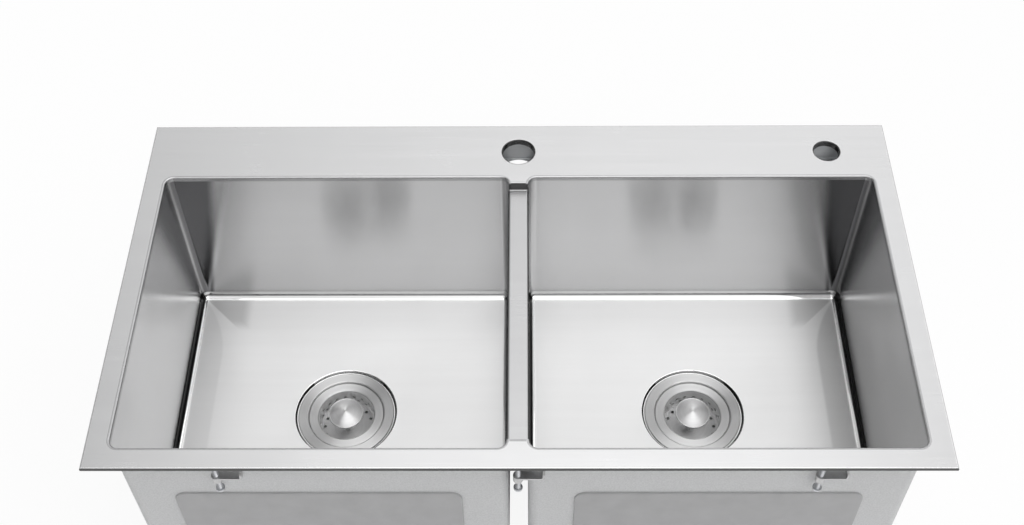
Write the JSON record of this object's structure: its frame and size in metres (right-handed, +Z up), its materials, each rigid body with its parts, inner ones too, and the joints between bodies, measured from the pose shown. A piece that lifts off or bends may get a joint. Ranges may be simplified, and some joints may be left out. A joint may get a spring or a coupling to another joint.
{
  "type": "kitchen sink",
  "caption": "Drop-in double-bowl sink in brushed steel with a low divider, tap and dispenser holes, basket strainers and swing-out worktop clips.",
  "frame": {"origin": "middle of the deck in plan, on the plane of the worktop's surface that the rim rests on", "axes": "+X to the user's right, +Y to the back where the tap stands, +Z up"},
  "size_m": [0.82, 0.44, 0.2874],
  "materials": {
    "brushed_deck": "brushed along the length, satin",
    "brushed_bowl": "brushed, satin",
    "painted_channel": "flat grey paint",
    "zinc_plate": "zinc plated",
    "claw_steel": "zinc plated, pressed",
    "seal_foam": "closed-cell foam strip",
    "sound_pad": "matt, lightly textured",
    "black_rubber": "matt",
    "fibre": "pressed fibre",
    "nylon": "natural nylon",
    "lock_nut_metal": "cast zinc, bead blasted",
    "chrome_nut": "plated",
    "strainer_steel": "turned, fine rings",
    "polished_knob": "spun and polished"
  },
  "bodies": {
    "sink": {"deck_panel": "brushed_deck", "divider_cap": "brushed_deck", "left_bowl": "brushed_bowl", "right_bowl": "brushed_bowl", "rear_channel": "painted_channel", "front_rail": "zinc_plate", "rear_rail": "zinc_plate", "left_rail": "zinc_plate", "right_rail": "zinc_plate", "rim_seal": "seal_foam", "left_base_pad": "sound_pad", "left_front_pad": "sound_pad", "left_rear_pad": "sound_pad", "left_side_pad": "sound_pad", "right_base_pad": "sound_pad", "right_front_pad": "sound_pad", "right_rear_pad": "sound_pad", "right_side_pad": "sound_pad", "clip_nuts": "zinc_plate", "clip_screws": "zinc_plate", "left_strainer_body": "strainer_steel", "left_flange_seal": "black_rubber", "left_gasket": "black_rubber", "left_friction_ring": "fibre", "left_lock_nut": "lock_nut_metal", "left_tail_washer": "nylon", "left_coupling_nut": "chrome_nut", "right_strainer_body": "strainer_steel", "right_flange_seal": "black_rubber", "right_gasket": "black_rubber", "right_friction_ring": "fibre", "right_lock_nut": "lock_nut_metal", "right_tail_washer": "nylon", "right_coupling_nut": "chrome_nut"},
    "clip_1": {"claw_1": "claw_steel"},
    "clip_2": {"claw_2": "claw_steel"},
    "clip_3": {"claw_3": "claw_steel"},
    "clip_4": {"claw_4": "claw_steel"},
    "clip_5": {"claw_5": "claw_steel"},
    "clip_6": {"claw_6": "claw_steel"},
    "clip_7": {"claw_7": "claw_steel"},
    "clip_8": {"claw_8": "claw_steel"},
    "left_basket_unit": {"left_basket": "strainer_steel", "left_knob": "polished_knob", "left_stopper": "black_rubber", "left_stem_nut": "zinc_plate"},
    "right_basket_unit": {"right_basket": "strainer_steel", "right_knob": "polished_knob", "right_stopper": "black_rubber", "right_stem_nut": "zinc_plate"}
  },
  "joints": [
    {"name": "claw_1_swing", "type": "hinge", "parent": "sink", "child": "clip_1", "pos_m": [-0.29, -0.2061, -0.03], "axis": [0, 0, -1], "range_deg": [0, 90]},
    {"name": "claw_2_swing", "type": "hinge", "parent": "sink", "child": "clip_2", "pos_m": [0, -0.2061, -0.03], "axis": [0, 0, -1], "range_deg": [0, 90]},
    {"name": "claw_3_swing", "type": "hinge", "parent": "sink", "child": "clip_3", "pos_m": [0.29, -0.2061, -0.03], "axis": [0, 0, -1], "range_deg": [0, 90]},
    {"name": "claw_4_swing", "type": "hinge", "parent": "sink", "child": "clip_4", "pos_m": [0.3961, -0.0275, -0.03], "axis": [0, 0, -1], "range_deg": [0, 90]},
    {"name": "claw_5_swing", "type": "hinge", "parent": "sink", "child": "clip_5", "pos_m": [0.27, 0.2061, -0.03], "axis": [0, 0, -1], "range_deg": [0, 90]},
    {"name": "claw_6_swing", "type": "hinge", "parent": "sink", "child": "clip_6", "pos_m": [0.1, 0.2061, -0.03], "axis": [0, 0, -1], "range_deg": [0, 90]},
    {"name": "claw_7_swing", "type": "hinge", "parent": "sink", "child": "clip_7", "pos_m": [-0.27, 0.2061, -0.03], "axis": [0, 0, -1], "range_deg": [0, 90]},
    {"name": "claw_8_swing", "type": "hinge", "parent": "sink", "child": "clip_8", "pos_m": [-0.3961, -0.0275, -0.03], "axis": [0, 0, -1], "range_deg": [0, 90]},
    {"name": "left_basket_lift", "type": "slide", "parent": "sink", "child": "left_basket_unit", "axis": [0, 0, 1], "range_m": [0, 0.27]},
    {"name": "right_basket_lift", "type": "slide", "parent": "sink", "child": "right_basket_unit", "axis": [0, 0, 1], "range_m": [0, 0.27]}
  ]
}
